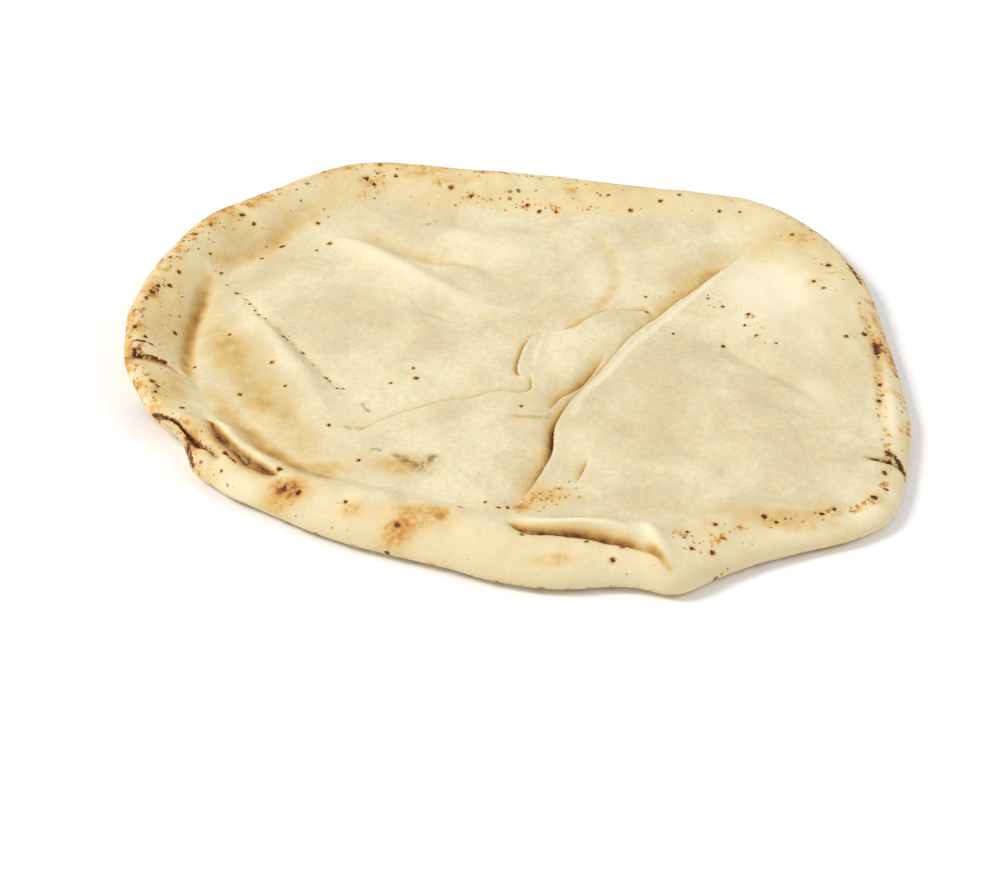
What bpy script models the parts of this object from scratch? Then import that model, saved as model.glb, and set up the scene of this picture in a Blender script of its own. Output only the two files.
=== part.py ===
"""Pita bread: one large pocket flatbread that puffed in the oven and sank again as it cooled.

The bread is a single closed skin. It starts as a sphere: the upper half becomes the sunken
face inside its puffy rim, the lower half becomes the flat underside, and the equator is the
seam where the two layers of the pocket meet.

Frame: the origin is under the middle of the bread on the surface it rests on, +X runs along
the longest width, +Y across it and +Z up. Lengths are in metres and angles in degrees,
anticlockwise from +X.
"""

import math

import bmesh
import bpy
import numpy as np
from mathutils import Vector

# Driving dimensions.

# The outer edge seen from above: only the places where its direction changes.
EDGE = (
    (0.1250, -0.0300), (0.1240, -0.0020), (0.1222, 0.0200), (0.1190, 0.0450), (0.1135, 0.0600),
    (0.1060, 0.0745), (0.0960, 0.0870), (0.0825, 0.0960), (0.0640, 0.1000), (0.0400, 0.1035),
    (0.0100, 0.1085), (-0.0250, 0.1125), (-0.0500, 0.1130), (-0.0640, 0.1085), (-0.0780, 0.0990),
    (-0.0930, 0.0865), (-0.1050, 0.0745), (-0.1150, 0.0545), (-0.1215, 0.0360), (-0.1252, 0.0170),
    (-0.1242, -0.0050), (-0.1190, -0.0190), (-0.1135, -0.0320), (-0.1080, -0.0385),
    (-0.1035, -0.0425), (-0.1005, -0.0490), (-0.0985, -0.0560), (-0.0915, -0.0630),
    (-0.0830, -0.0695), (-0.0560, -0.0865), (-0.0300, -0.0980), (0.0070, -0.1105),
    (0.0340, -0.1105), (0.0485, -0.1140), (0.0630, -0.1050), (0.0830, -0.0950), (0.1050, -0.0865),
    (0.1160, -0.0760), (0.1220, -0.0560),
)
EDGE_STEPS = 12

# Around the rim, as (angle, value): how high the rim swells, how high its seam lies, how far
# the swelling's top is from the outer edge, how far the inner slope runs to the face, how
# straight that slope is (0 is a soft S, 1 a plain slope), and how far the underside curls up.
RIM_HEIGHT = (
    (0, 0.0085), (30, 0.0095), (60, 0.0110), (90, 0.0125), (120, 0.0140), (150, 0.0150),
    (180, 0.0147), (190, 0.0130), (200, 0.0120), (215, 0.0118), (240, 0.0115), (270, 0.0115),
    (290, 0.0120), (302, 0.0105), (320, 0.0085), (345, 0.0082),
)
SEAM_HEIGHT = (
    (0, 0.0035), (30, 0.0050), (60, 0.0065), (90, 0.0080), (120, 0.0105), (150, 0.0125),
    (180, 0.0118), (190, 0.0105), (200, 0.0092), (207, 0.0042), (240, 0.0035), (290, 0.0035),
    (320, 0.0030),
)
RIM_ROUND = (
    (0, 0.0150), (30, 0.0110), (60, 0.0080), (90, 0.0060), (120, 0.0050), (150, 0.0045),
    (181, 0.0042), (199, 0.0042), (206, 0.0135), (240, 0.0150), (270, 0.0160), (288, 0.0160),
    (302, 0.0140), (320, 0.0160), (345, 0.0160),
)
RIM_SLOPE = (
    (0, 0.0200), (60, 0.0220), (90, 0.0210), (120, 0.0200), (150, 0.0165), (181, 0.0160),
    (199, 0.0150), (206, 0.0085), (240, 0.0090), (270, 0.0090), (290, 0.0100), (305, 0.0160),
    (320, 0.0200),
)
RIM_STRAIGHT = (
    (0, 0.0), (60, 0.1), (90, 0.3), (120, 0.5), (150, 0.8), (181, 0.9), (199, 0.9), (206, 0.3),
    (240, 0.2), (300, 0.0),
)
UNDER_ROUND = (
    (0, 0.0100), (60, 0.0130), (90, 0.0160), (150, 0.0220), (185, 0.0220), (200, 0.0180),
    (207, 0.0090), (240, 0.0080), (290, 0.0080), (330, 0.0090),
)

# The sunken face: its height in the middle, and how much it rises towards the front.
FACE_HEIGHT = 0.0072
FACE_RISE = 0.0020
FACE_RISE_LENGTH = 0.0900

# Folds of the face: (start, end, half width, height). A negative height is a furrow.
FOLDS = (
    ((0.0750, 0.0560), (0.0150, -0.0270), 0.0070, -0.0022),
    ((0.0150, -0.0270), (0.0010, -0.0790), 0.0070, -0.0022),
    ((0.0860, 0.0480), (0.0260, -0.0300), 0.0090, 0.0014),
    ((-0.0910, 0.0370), (-0.0460, -0.0300), 0.0080, 0.0014),
    ((-0.0630, 0.0680), (0.0000, 0.0240), 0.0090, 0.0016),
    ((-0.0540, 0.0800), (-0.0100, 0.0490), 0.0080, -0.0014),
)

# How the skin is divided: around it, from pole to pole, and the share of the rings in a rim.
SEGMENTS_AROUND = 104
RINGS = 44
RIM_SHARE_ABOVE = 0.32
RIM_SHARE_BELOW = 0.22

CRUST_COLOUR = (0.76, 0.63, 0.42, 1.0)
CRUST_ROUGHNESS = 0.85


def closed_curve(points, steps):
    """Points along the smooth closed curve that passes through all the given points."""
    count = len(points)
    curve = []
    for index in range(count):
        before, start, end, after = (Vector(points[(index + shift) % count]) for shift in (-1, 0, 1, 2))
        bend = 2 * before - 5 * start + 4 * end - after
        twist = 3 * start - before - 3 * end + after
        for step in range(steps):
            t = step / steps
            curve.append(start + 0.5 * ((end - before) * t + bend * t**2 + twist * t**3))
    return curve


def edge_radius(angle):
    """Distance from the middle of the bread to its outer edge at each angle, in radians."""
    curve = closed_curve(EDGE, EDGE_STEPS)
    angles = [math.atan2(point.y, point.x) for point in curve]
    radii = [point.length for point in curve]
    return np.interp(angle, angles, radii, period=math.tau)


def around(table, angle):
    """A rim dimension at each angle, eased between the angles that its table gives."""
    stops = np.radians([stop for stop, _ in table] + [360 + table[0][0]])
    values = np.array([value for _, value in table] + [table[0][1]])
    place = np.interp(np.mod(angle, math.tau), stops, np.arange(len(stops)))
    index = np.minimum(place.astype(int), len(table) - 1)
    return values[index] + (values[index + 1] - values[index]) * ease(place - index)


def ease(t):
    """A smooth step from 0 to 1."""
    t = np.clip(t, 0, 1)
    return t * t * (3 - 2 * t)


def fold_height(x, y, start, end, half_width, height):
    """Height that one fold adds at each place: a soft ridge or furrow between two points."""
    along_x, along_y = end[0] - start[0], end[1] - start[1]
    length_squared = along_x**2 + along_y**2
    share = np.clip(((x - start[0]) * along_x + (y - start[1]) * along_y) / length_squared, 0, 1)
    away = np.hypot(x - start[0] - share * along_x, y - start[1] - share * along_y)
    return height * np.exp(-((away / half_width) ** 2))


def face_height(x, y):
    """Height of the sunken face, without its rim."""
    height = FACE_HEIGHT + FACE_RISE * ease(-y / FACE_RISE_LENGTH)
    for fold in FOLDS:
        height = height + fold_height(x, y, *fold)
    return height


def upper_skin(ring, angle):
    """Places on the upper skin. Ring runs from 0 in the middle to 1 at the seam."""
    edge = edge_radius(angle)
    crest = around(RIM_HEIGHT, angle)
    seam = around(SEAM_HEIGHT, angle)
    rounding = around(RIM_ROUND, angle)
    turn = np.clip((1 - ring) / RIM_SHARE_ABOVE, 0, 1) * math.pi / 2
    inward = np.clip(1 - ring / (1 - RIM_SHARE_ABOVE), 0, 1)
    inset = rounding * (1 - np.cos(turn)) + (edge - rounding) * inward
    x = (edge - inset) * np.cos(angle)
    y = (edge - inset) * np.sin(angle)
    rim = seam + (crest - seam) * np.sin(turn)
    down = np.clip((inset - rounding) / around(RIM_SLOPE, angle), 0, 1)
    straight = around(RIM_STRAIGHT, angle)
    sunk = straight * down + (1 - straight) * ease(down)
    return x, y, rim + (face_height(x, y) - rim) * sunk


def lower_skin(ring, angle):
    """Places on the underside. Ring runs from 0 in the middle to 1 at the seam."""
    edge = edge_radius(angle)
    seam = around(SEAM_HEIGHT, angle)
    rounding = around(UNDER_ROUND, angle)
    turn = np.clip((1 - ring) / RIM_SHARE_BELOW, 0, 1) * math.pi / 2
    inward = np.clip(1 - ring / (1 - RIM_SHARE_BELOW), 0, 1)
    inset = rounding * (1 - np.cos(turn)) + (edge - rounding) * inward
    x = (edge - inset) * np.cos(angle)
    y = (edge - inset) * np.sin(angle)
    return x, y, seam * (1 - np.sin(turn))


def shape_bread(mesh):
    """Turn a unit sphere into the bread, half of it into each skin."""
    sphere = np.array([vertex.co for vertex in mesh.vertices], dtype=float)
    angle = np.arctan2(sphere[:, 1], sphere[:, 0])
    ring = np.arccos(np.clip(np.abs(sphere[:, 2]), 0, 1)) / (math.pi / 2)
    above = sphere[:, 2] > 0
    upper = np.stack(upper_skin(ring, angle), axis=1)
    lower = np.stack(lower_skin(ring, angle), axis=1)
    shaped = np.where(above[:, None], upper, lower)
    mesh.vertices.foreach_set("co", shaped.ravel())
    mesh.update()


def crust_material():
    """Pale baked crust."""
    material = bpy.data.materials.new("baked crust")
    material.use_nodes = True
    shader = material.node_tree.nodes["Principled BSDF"]
    shader.inputs["Base Color"].default_value = CRUST_COLOUR
    shader.inputs["Roughness"].default_value = CRUST_ROUGHNESS
    shader.inputs["Metallic"].default_value = 0.0
    return material


def make_bread(collection):
    """The whole bread as one closed body."""
    form = bmesh.new()
    bmesh.ops.create_uvsphere(form, u_segments=SEGMENTS_AROUND, v_segments=RINGS, radius=1)
    mesh = bpy.data.meshes.new("pita_bread")
    form.to_mesh(mesh)
    form.free()
    shape_bread(mesh)
    mesh.shade_smooth()
    mesh.materials.append(crust_material())
    bread = bpy.data.objects.new("pita_bread", mesh)
    collection.objects.link(bread)
    return bread


def main():
    for item in list(bpy.data.objects):
        bpy.data.objects.remove(item, do_unlink=True)
    collection = bpy.data.collections.new("pita_bread")
    bpy.context.scene.collection.children.link(collection)
    make_bread(collection)


main()
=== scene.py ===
import math
from collections import namedtuple

import bmesh
import bpy
import numpy as np
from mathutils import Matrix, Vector


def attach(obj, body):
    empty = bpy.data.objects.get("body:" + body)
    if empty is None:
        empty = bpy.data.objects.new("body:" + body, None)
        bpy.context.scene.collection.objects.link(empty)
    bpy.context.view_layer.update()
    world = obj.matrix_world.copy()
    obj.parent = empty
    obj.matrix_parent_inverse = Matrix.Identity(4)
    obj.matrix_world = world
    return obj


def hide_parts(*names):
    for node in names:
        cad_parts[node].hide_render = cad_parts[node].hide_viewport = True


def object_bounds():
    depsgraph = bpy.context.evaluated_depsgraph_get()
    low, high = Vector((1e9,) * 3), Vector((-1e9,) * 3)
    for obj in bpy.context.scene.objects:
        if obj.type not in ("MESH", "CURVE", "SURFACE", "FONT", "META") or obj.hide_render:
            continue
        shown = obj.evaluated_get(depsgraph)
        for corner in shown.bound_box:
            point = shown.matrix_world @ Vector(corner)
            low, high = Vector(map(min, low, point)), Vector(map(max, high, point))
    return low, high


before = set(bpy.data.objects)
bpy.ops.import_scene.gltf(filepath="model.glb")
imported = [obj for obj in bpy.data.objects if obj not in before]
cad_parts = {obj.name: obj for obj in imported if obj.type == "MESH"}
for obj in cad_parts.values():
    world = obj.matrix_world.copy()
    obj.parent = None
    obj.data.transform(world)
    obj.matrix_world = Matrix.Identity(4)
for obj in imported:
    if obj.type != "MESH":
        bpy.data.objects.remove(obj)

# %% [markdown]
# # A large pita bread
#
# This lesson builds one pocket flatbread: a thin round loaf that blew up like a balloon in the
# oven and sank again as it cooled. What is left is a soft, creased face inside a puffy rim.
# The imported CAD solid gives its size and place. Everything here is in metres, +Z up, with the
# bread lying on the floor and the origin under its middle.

cad_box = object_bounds()
cad_low, cad_high = cad_box
middle = (cad_low + cad_high) / 2
print("CAD box, metres:", tuple(cad_low), tuple(cad_high))

# %% [markdown]
# ## The camera
#
# A bread on a table is mostly seen from where a seated person's eyes are: about a third of the
# way up from the table. A long lens keeps the far rim nearly as large as the near one. The
# camera looks at the middle of the CAD box, and a small shift sets the bread a little above
# the middle of the frame.

# %% Camera
CAMERA_ELEVATION = math.radians(35)
CAMERA_DISTANCE = 0.984
CAMERA_LENS = 110
CAMERA_SHIFT = (-0.0113, -0.0892)

camera = bpy.data.objects.new("camera", bpy.data.cameras.new("camera"))
bpy.context.scene.collection.objects.link(camera)
toward_camera = Vector((0, -math.cos(CAMERA_ELEVATION), math.sin(CAMERA_ELEVATION)))
camera.location = middle + toward_camera * CAMERA_DISTANCE
camera.rotation_euler = toward_camera.to_track_quat("Z", "Y").to_euler()
camera.data.lens = CAMERA_LENS
camera.data.shift_x, camera.data.shift_y = CAMERA_SHIFT
camera.data.clip_start = 0.01
bpy.context.scene.camera = camera
print("camera at", tuple(round(value, 3) for value in camera.location))

# %% [markdown]
# ## Smooth lines through chosen points
#
# Bread has no straight lines. The outer edge and every fold is drawn as a smooth curve that
# passes through a few chosen points. A Catmull-Rom curve does that with no handles to set.
# The tables of this lesson give places and sizes in millimetres, which are easy to picture on
# a bread. mm() turns them into metres, and everything else is in metres already.


# %% Curves
def mm(sizes):
    """Metres from millimetres, for one size, an array, or tuples within tuples."""
    return tuple(mm(size) for size in sizes) if isinstance(sizes, tuple) else sizes / 1000


def through(points, closed=False, steps=10):
    """Places along the smooth curve through the given points."""
    points = np.array(points, dtype=float)
    if closed:
        before, after, beyond = (np.roll(points, -shift, axis=0) for shift in (-1, 1, 2))
        start = points
    else:
        ends = np.vstack([2 * points[0] - points[1], points, 2 * points[-1] - points[-2]])
        before, start, after, beyond = ends[:-3], ends[1:-2], ends[2:-1], ends[3:]
    t = (np.arange(steps) / steps)[None, :, None]
    before, start, after, beyond = (side[:, None, :] for side in (before, start, after, beyond))
    bend = 2 * before - 5 * start + 4 * after - beyond
    twist = 3 * start - before - 3 * after + beyond
    curve = (start + 0.5 * ((after - before) * t + bend * t**2 + twist * t**3)).reshape(-1, 2)
    return curve if closed else np.vstack([curve, points[-1]])


def ease(t):
    """A smooth step from 0 to 1."""
    t = np.clip(t, 0, 1)
    return t * t * (3 - 2 * t)


# %% [markdown]
# ## The outer edge and the rim
#
# Seen from above the bread is round with flattened sides, because the dough was thrown into
# the oven by hand. Its rim changes all the way round. At the left and behind it curls up to a
# thin lip with the seam near the top; in front it stands as a rounded wall with the seam near
# the floor; on the right it is low and soft. Each of these is a short table of angles in
# degrees and sizes in millimetres, eased in between, in the same places as the CAD solid's.

# %% Edge and rim values
EDGE = (
    (125, -30), (124, -2), (122.2, 20), (119, 45), (113.5, 60), (106, 74.5), (96, 87), (82.5, 96),
    (64, 100), (40, 103.5), (10, 108.5), (-25, 112.5), (-50, 113), (-64, 108.5), (-78, 99), (-93, 86.5),
    (-105, 74.5), (-115, 54.5), (-121.5, 36), (-125.2, 17), (-124.2, -5), (-119, -19), (-113.5, -32),
    (-108, -38.5), (-103.5, -42.5), (-100.5, -49), (-98.5, -56), (-91.5, -63), (-83, -69.5),
    (-56, -86.5), (-30, -98), (7, -110.5), (34, -110.5), (48.5, -114), (63, -105), (83, -95),
    (105, -86.5), (116, -76), (122, -56),
)
EDGE_UNEVEN = 0.0025
EDGE_RIPPLES = (9, 14, 23, 31, 47)
RIM_HEIGHT = (
    (0, 8.5), (30, 9.5), (60, 11), (90, 12.5), (120, 14), (150, 15), (180, 14.7), (190, 13), (200, 12),
    (215, 11.8), (240, 11.5), (270, 11.5), (290, 12), (302, 10.5), (320, 8.5), (345, 8.2),
)
SEAM_HEIGHT = (
    (0, 3.5), (30, 5), (60, 6.5), (90, 8), (120, 10.5), (150, 12.5), (180, 11.8), (190, 10.5),
    (200, 9.2), (207, 4.2), (240, 3.5), (290, 3.5), (320, 3),
)
RIM_ROUND = (
    (0, 15), (30, 11), (60, 8), (90, 6), (120, 5), (150, 4.5), (181, 4.2), (199, 4.2), (206, 13.5),
    (240, 15), (270, 16), (288, 16), (302, 14), (320, 16), (345, 16),
)
RIM_SLOPE = (
    (0, 20), (60, 22), (90, 21), (120, 20), (150, 16.5), (181, 16), (199, 15), (206, 8.5), (240, 9),
    (270, 9), (290, 10), (305, 16), (320, 20),
)
RIM_STRAIGHT = (
    (0, 0), (60, 0.1), (90, 0.3), (120, 0.5), (150, 0.8), (181, 0.9), (199, 0.9), (206, 0.3), (240, 0.2),
    (300, 0),
)
UNDER_ROUND = (
    (0, 10), (60, 13), (90, 16), (150, 22), (185, 22), (200, 18), (207, 9), (240, 8), (290, 8), (330, 9),
)


def around(table, angle):
    """A rim value at each angle in radians, eased between the angles that its table gives."""
    stops = np.radians([stop for stop, _ in table] + [360 + table[0][0]])
    values = np.array([value for _, value in table] + [table[0][1]])
    place = np.interp(np.mod(angle, math.tau), stops, np.arange(len(stops)))
    index = np.minimum(place.astype(int), len(table) - 1)
    return values[index] + (values[index + 1] - values[index]) * ease(place - index)


edge_curve = through(mm(EDGE), closed=True, steps=14)
edge_angles = np.arctan2(edge_curve[:, 1], edge_curve[:, 0])
edge_lengths = np.hypot(edge_curve[:, 0], edge_curve[:, 1])


def edge_radius(angle):
    """Distance from the middle of the bread to its outer edge, a little uneven."""
    smooth_edge = np.interp(angle, edge_angles, edge_lengths, period=math.tau)
    uneven = sum(np.sin(count * (angle + 1.7)) / count for count in EDGE_RIPPLES)
    return smooth_edge + EDGE_UNEVEN * uneven


print("edge, metres across:", np.ptp(edge_curve, axis=0).round(4))

# %% [markdown]
# ## Soft hills and furrows
#
# When the steam leaves, the loose upper skin settles into broad waves a few centimetres long.
# They are too soft to be called folds: each one here is a line with a height and a half width,
# and the height fades away from the line like a bell. Sums of a few sine waves in seeded
# directions add the small unevenness of hand-rolled dough.


# %% Distance to a line
def near_line(places, line, reach):
    """Finds the places within reach of a line.

    Returns their indices, their distance (positive on the left of the line's direction), the
    share of the line's length passed at the nearest point, and the unit vector to the left.
    """
    low, high = line.min(0) - reach, line.max(0) + reach
    inside = np.flatnonzero(((places > low) & (places < high)).all(1))
    start, step = line[:-1], np.diff(line, axis=0)
    lengths = np.linalg.norm(step, axis=1)
    passed = np.concatenate([[0], np.cumsum(lengths)])
    best = np.full(len(inside), np.inf)
    side = np.zeros(len(inside))
    share = np.zeros(len(inside))
    left = np.zeros((len(inside), 2))
    for index, (a, b, length) in enumerate(zip(start, step, lengths)):
        away = places[inside] - a
        t = np.clip((away @ b) / length**2, 0, 1)
        offset = away - t[:, None] * b
        distance = np.linalg.norm(offset, axis=1)
        closer = distance < best
        best[closer] = distance[closer]
        turn = b[0] * away[:, 1] - b[1] * away[:, 0]
        side[closer] = np.where(turn >= 0, 1, -1)[closer]
        share[closer] = (passed[index] + t * length)[closer] / passed[-1]
        left[closer] = (-b[1] / length, b[0] / length)
    kept = best < reach
    return inside[kept], (best * side)[kept], share[kept], left[kept]


def along(values, share):
    """A value that changes along a line: the given ones are spaced evenly and eased between."""
    values = np.atleast_1d(values).astype(float)
    if len(values) == 1:
        return np.full_like(share, values[0])
    place = np.clip(share, 0, 1) * (len(values) - 1)
    index = np.minimum(place.astype(int), len(values) - 2)
    return values[index] + (values[index + 1] - values[index]) * ease(place - index)


# %% Waves of the face
SOFT_LINES = {
    "left ridge": (((-88, 34), (-82, 21), (-74, 2), (-66, -14), (-61, -26), (-58, -44)), 4.8,
        (0, 2.2, 2.6, 2.2, 0)),
    "line beside it": (((-91, 38), (-83, 26), (-68, 5), (-59, -8), (-46, -29)), 2.6,
        (0, -1.1, -1.1, -0.8, 0)),
    "upper ridge": (((-66, 76), (-53, 65), (-41, 55), (-30, 45), (-20, 37), (-8, 30)), 4.8,
        (0, 3, 3.4, 2.4, 0)),
    "trough above": (((-54, 81), (-45, 72), (-28, 61), (-12, 55), (3, 38)), 4.5,
        (0, -2.4, -2.7, -1.8, 0)),
    "high ridge": (((-34, 80), (-12, 70), (8, 58), (18, 44)), 8.5, (0, 1.8, 2.2, 0)),
    "bow": (((23, 82), (30, 71), (34, 59), (34, 47), (28, 29)), 4, (0, -1, -1.4, -1, 0)),
    "ripple": (((-34, 33), (-21, 24), (-12, 23.5), (2, 26)), 1.8, (0, -1.1, -1, 0)),
    "ripple lip": (((-32, 28), (-20, 20.5), (-11, 20.5), (2, 23)), 2, (0, 1, 1, 0)),
    "right furrow": (((66, 9), (74, 2), (83, -5), (92, -14), (99, -23), (104, -36)), 3.6,
        (0, -1.8, -2.2, -2.2, -1.4, 0)),
    "right swell": (((72, 30), (88, 14), (100, -4)), 11, (0, 2, 0)),
    "lower right swell": (((56, -20), (74, -34), (88, -52)), 12, (0, 1.8, 0)),
    "lower right furrow": (((44, -36), (58, -50), (70, -68)), 6, (0, -1.8, 0)),
    "back-left valley": (((-103, 50), (-96.5, 56), (-88.5, 62.5), (-80.5, 70), (-71, 84), (-60, 91)),
        4.5, (0, -1.8, -1.6, 0)),
    "left valley": (((-101, 46), (-102.5, 31), (-104, 20), (-104.8, 8), (-104, -6)), 3,
        (-0.4, -2.2, -2.6, -2.2, -1)),
    "front-left moat": (((-98, -20), (-86, -34), (-74, -50), (-58, -64), (-36, -73)), 7.5,
        (-0.6, -2, -2.2, -1.6, 0)),
    "front moat": (((-36, -72), (-18, -77), (-2, -80)), 6, (0, -1.2, 0)),
    "swell between creases": (((36, 34), (30, 12), (18, -4)), 10, (0, 1.4, 0)),
    "right of the main crease": (((88, 52), (70, 24), (50, -4), (36, -34)), 12, (0, 1.6, 1.6, 0)),
    "roll above the slot": (((-2, -84.5), (8, -88.5), (20, -89.5), (32, -90), (40, -93.5)), 4,
        (0, 1.4, 1.8, 1.6, 1)),
    "pinch": (((37.5, -88), (40, -95), (42.5, -103), (44.5, -110)), 4.2, (0, 2.4, 2.6, 1)),
    "beside the pinch": (((48, -88), (53, -96), (58, -102)), 5, (0, -1, 0)),
    "groove of the right rim": (((113, 33), (116.5, 20), (117.8, 5), (117.2, -12), (116.4, -32),
        (115.8, -50)), 1.6, (0, -0.6, -0.9, -0.7, -0.7, 0)),
    "swell of the right rim": (((118, 30), (121.5, 8), (121.5, -12), (120.8, -32), (119.5, -52)), 3.4,
        (0, 1, 1.2, 1.2, 0)),
    "groove of the lower right rim": (((66, -90.5), (86, -84.2), (101, -78.2), (110, -71.5)), 1.8,
        (0, -0.8, -0.8, 0)),
    "fold of the wall": (((-92.5, -50), (-90.5, -56), (-89.5, -62)), 2.2, (0, -1.4, 0)),
}
FACE_HEIGHT = 0.0072
FACE_RISE = 0.0020
FACE_RISE_LENGTH = 0.0900
WAVE_COUNT = 14
# Each: how long the waves are and how far they swing.
FACE_WAVES = ((46, 0.5), (21, 0.24), (9.5, 0.1), (4.5, 0.03))
FACE_SEED = 0
RIM_WAVES = ((24, 0.4), (10, 0.2))
RIM_SEED = 31
RIM_EDGE = 0.008
LINES_EDGE = 0.006


def soft_lines(x, y):
    """Height that all the soft ridges and furrows add together."""
    height = np.zeros_like(x)
    places = np.stack([x, y], axis=1)
    for points, half_width, heights in map(mm, SOFT_LINES.values()):
        index, away, share, _ = near_line(places, through(points), 3 * half_width)
        height[index] += along(heights, share) * np.exp(-((away / half_width) ** 2))
    return height


def waves(x, y, length, seed):
    """Soft random unevenness of about the given wave length, mostly between -1 and 1."""
    draw = np.random.default_rng(seed)
    total = np.zeros_like(x)
    for _ in range(WAVE_COUNT):
        heading = draw.uniform(0, math.tau)
        stretch = draw.uniform(0.7, 1.4)
        phase = draw.uniform(0, math.tau)
        passed = x * math.cos(heading) + y * math.sin(heading)
        total += np.sin(math.tau / (length * stretch) * passed + phase)
    return total / math.sqrt(WAVE_COUNT)


def many_waves(x, y, table, first_seed):
    """Waves of several lengths added together."""
    return sum(swing * waves(x, y, length, seed)
               for seed, (length, swing) in enumerate(mm(table), first_seed))


def face_height(x, y):
    """Height of the sunken face, without its rim and its folds."""
    rise = FACE_RISE * ease(-y / FACE_RISE_LENGTH)
    return FACE_HEIGHT + rise + many_waves(x, y, FACE_WAVES, FACE_SEED)


# %% The upper skin as a height over each place
def upper_height(x, y):
    """Height of the upper skin: an oval arc up to the rim's crest, then a slope to the face."""
    angle = np.arctan2(y, x)
    inset = np.maximum(edge_radius(angle) - np.hypot(x, y), 0)
    seam, crest = mm(around(SEAM_HEIGHT, angle)), mm(around(RIM_HEIGHT, angle))
    rounding = mm(around(RIM_ROUND, angle))
    arc = np.sqrt(1 - (1 - np.clip(inset / rounding, 0, 1)) ** 2)
    rim = seam + (crest - seam) * arc
    rim += many_waves(x, y, RIM_WAVES, RIM_SEED) * ease(inset / RIM_EDGE)
    down = np.clip((inset - rounding) / mm(around(RIM_SLOPE, angle)), 0, 1)
    straight = around(RIM_STRAIGHT, angle)
    sunk = straight * down + (1 - straight) * ease(down)
    return rim + (face_height(x, y) - rim) * sunk + soft_lines(x, y) * ease(inset / LINES_EDGE)


# %% [markdown]
# ## Creases
#
# Where the skin had too much room it folded over itself. Such a crease has two different sides:
# one side dips down under the fold, the other carries a rounded lip that leans over it. A
# height map alone can't lean, so each crease also slides the lip sideways. The points of the
# mesh are first gathered towards the crease, to have enough of them where the shape is small.

# %% Crease values
Crease = namedtuple("Crease", "line depth dip lip lean brown round")
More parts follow.
